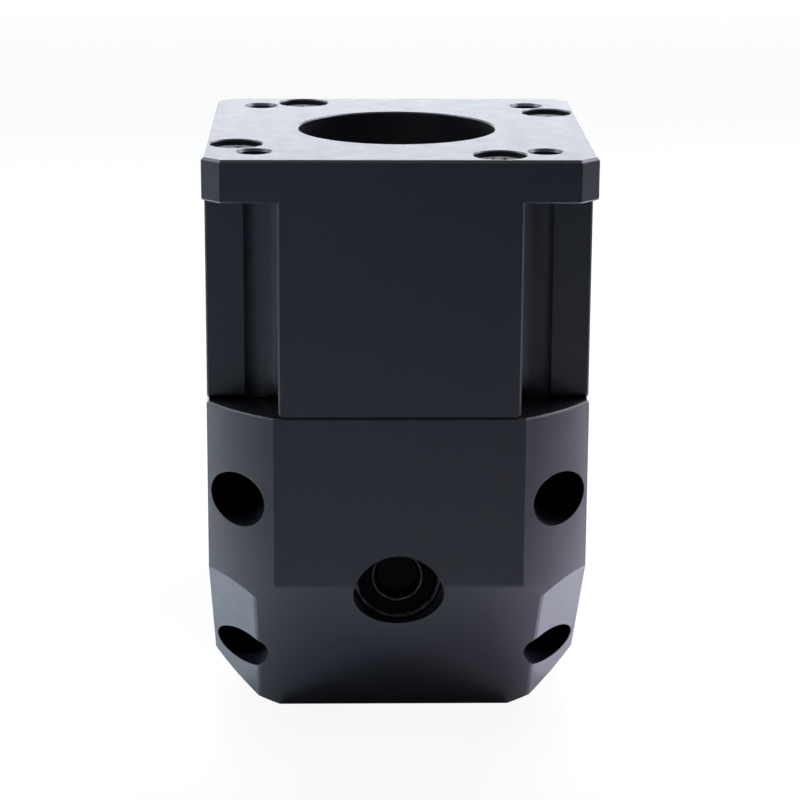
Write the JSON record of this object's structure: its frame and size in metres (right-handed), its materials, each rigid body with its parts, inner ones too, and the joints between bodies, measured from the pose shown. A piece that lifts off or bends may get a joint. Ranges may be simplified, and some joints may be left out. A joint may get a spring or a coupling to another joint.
{
  "type": "right angle planetary gearbox",
  "caption": "Right angle gear reducer: clamp input for a flanged stepper motor, bevel pair in an elbow, planetary stages and a flatted output shaft.",
  "frame": {"origin": "centre of the motor flange face, on the input axis", "axes": "+Z out of the motor flange along the input axis, +Y along the output shaft"},
  "size_m": [0.042, 0.1065, 0.0695],
  "materials": {
    "anodised_black": "black anodised satin",
    "plain_aluminium": "turned",
    "screw_steel": "plated socket screws",
    "gear_steel": "cut and oiled",
    "shaft_steel": "ground",
    "bearing_steel": "polished",
    "spring_steel": "blackened",
    "seal_rubber": "matt"
  },
  "bodies": {
    "casing": {"input_housing": "anodised_black", "elbow_housing": "anodised_black", "output_housing": "anodised_black", "bearing_plate": "plain_aluminium", "flange_screws": "screw_steel", "output_screws": "screw_steel", "access_plug": "screw_steel", "output_seal": "seal_rubber", "input_bearing_outer_rings": "bearing_steel", "shaft_bearing_outer_ring": "bearing_steel", "rear_bearing_outer_ring": "bearing_steel", "rear_bearing_shields": "spring_steel", "output_bearing_outer_rings": "bearing_steel", "ring_gear": "gear_steel"},
    "input_rotor": {"clamp_hub": "plain_aluminium", "clamp_screw": "screw_steel", "input_bearing_inner_rings": "bearing_steel", "bevel_pinion": "gear_steel", "pinion_washer": "screw_steel", "pinion_screw": "screw_steel"},
    "wheel_rotor": {"wheel_shaft": "shaft_steel", "bevel_wheel": "gear_steel", "wheel_key": "shaft_steel", "wheel_retaining_ring": "spring_steel", "wheel_spacer": "plain_aluminium", "rear_bearing_inner_ring": "bearing_steel", "shaft_bearing_inner_ring": "bearing_steel"},
    "first_carrier_assembly": {"first_carrier": "gear_steel", "first_planet_pins": "shaft_steel"},
    "output_rotor": {"output_shaft": "shaft_steel", "output_retaining_ring": "spring_steel", "output_bearing_inner_rings": "bearing_steel", "second_planet_pins": "shaft_steel"},
    "first_planet_1": {"first_planet_1": "gear_steel"},
    "first_planet_2": {"first_planet_2": "gear_steel"},
    "first_planet_3": {"first_planet_3": "gear_steel"},
    "second_planet_1": {"second_planet_1": "gear_steel"},
    "second_planet_2": {"second_planet_2": "gear_steel"},
    "second_planet_3": {"second_planet_3": "gear_steel"},
    "input_bearing_balls": {"input_bearing_balls": "bearing_steel"},
    "shaft_bearing_balls": {"shaft_bearing_balls": "bearing_steel"},
    "rear_bearing_balls": {"rear_bearing_balls": "bearing_steel"},
    "output_bearing_balls": {"output_bearing_balls": "bearing_steel"}
  },
  "joints": [
    {"name": "input_spin", "type": "hinge", "parent": "casing", "child": "input_rotor", "pos_m": [0, 0, 0], "axis": [0, 0, 1], "continuous": true},
    {"name": "wheel_spin", "type": "hinge", "parent": "casing", "child": "wheel_rotor", "pos_m": [0, 0, -0.0485], "axis": [0, 1, 0], "continuous": true},
    {"name": "first_carrier_spin", "type": "hinge", "parent": "casing", "child": "first_carrier_assembly", "pos_m": [0, 0.031, -0.0485], "axis": [0, 1, 0], "continuous": true},
    {"name": "output_spin", "type": "hinge", "parent": "casing", "child": "output_rotor", "pos_m": [0, 0.0635, -0.0485], "axis": [0, 1, 0], "continuous": true},
    {"name": "first_planet_1_spin", "type": "hinge", "parent": "first_carrier_assembly", "child": "first_planet_1", "pos_m": [0.009, 0.026, -0.0485], "axis": [0, 1, 0], "continuous": true},
    {"name": "first_planet_2_spin", "type": "hinge", "parent": "first_carrier_assembly", "child": "first_planet_2", "pos_m": [-0.0045, 0.026, -0.05629], "axis": [0, 1, 0], "continuous": true},
    {"name": "first_planet_3_spin", "type": "hinge", "parent": "first_carrier_assembly", "child": "first_planet_3", "pos_m": [-0.0045, 0.026, -0.04071], "axis": [0, 1, 0], "continuous": true},
    {"name": "second_planet_1_spin", "type": "hinge", "parent": "output_rotor", "child": "second_planet_1", "pos_m": [0.009, 0.03725, -0.0485], "axis": [0, 1, 0], "continuous": true},
    {"name": "second_planet_2_spin", "type": "hinge", "parent": "output_rotor", "child": "second_planet_2", "pos_m": [-0.0045, 0.03725, -0.05629], "axis": [0, 1, 0], "continuous": true},
    {"name": "second_planet_3_spin", "type": "hinge", "parent": "output_rotor", "child": "second_planet_3", "pos_m": [-0.0045, 0.03725, -0.04071], "axis": [0, 1, 0], "continuous": true},
    {"name": "input_bearing_balls_roll", "type": "hinge", "parent": "casing", "child": "input_bearing_balls", "pos_m": [0, 0, -0.0205], "axis": [0, 0, 1], "continuous": true},
    {"name": "shaft_bearing_balls_roll", "type": "hinge", "parent": "casing", "child": "shaft_bearing_balls", "pos_m": [0, 0.018, -0.0485], "axis": [0, 1, 0], "continuous": true},
    {"name": "rear_bearing_balls_roll", "type": "hinge", "parent": "casing", "child": "rear_bearing_balls", "pos_m": [0, -0.011, -0.0485], "axis": [0, 1, 0], "continuous": true},
    {"name": "output_bearing_balls_roll", "type": "hinge", "parent": "casing", "child": "output_bearing_balls", "pos_m": [0, 0.052, -0.0485], "axis": [0, 1, 0], "continuous": true}
  ],
  "couplings": [
    {"joint": "wheel_spin", "follows": "input_spin", "ratio": -0.5},
    {"joint": "first_carrier_spin", "follows": "input_spin", "ratio": -0.1},
    {"joint": "output_spin", "follows": "input_spin", "ratio": -0.02},
    {"joint": "first_planet_1_spin", "follows": "input_spin", "ratio": 0.26667},
    {"joint": "first_planet_2_spin", "follows": "input_spin", "ratio": 0.26667},
    {"joint": "first_planet_3_spin", "follows": "input_spin", "ratio": 0.26667},
    {"joint": "second_planet_1_spin", "follows": "input_spin", "ratio": 0.053333},
    {"joint": "second_planet_2_spin", "follows": "input_spin", "ratio": 0.053333},
    {"joint": "second_planet_3_spin", "follows": "input_spin", "ratio": 0.053333},
    {"joint": "input_bearing_balls_roll", "follows": "input_spin", "ratio": 0.37333},
    {"joint": "shaft_bearing_balls_roll", "follows": "input_spin", "ratio": -0.18667},
    {"joint": "rear_bearing_balls_roll", "follows": "input_spin", "ratio": -0.2},
    {"joint": "output_bearing_balls_roll", "follows": "input_spin", "ratio": -0.0082222}
  ]
}
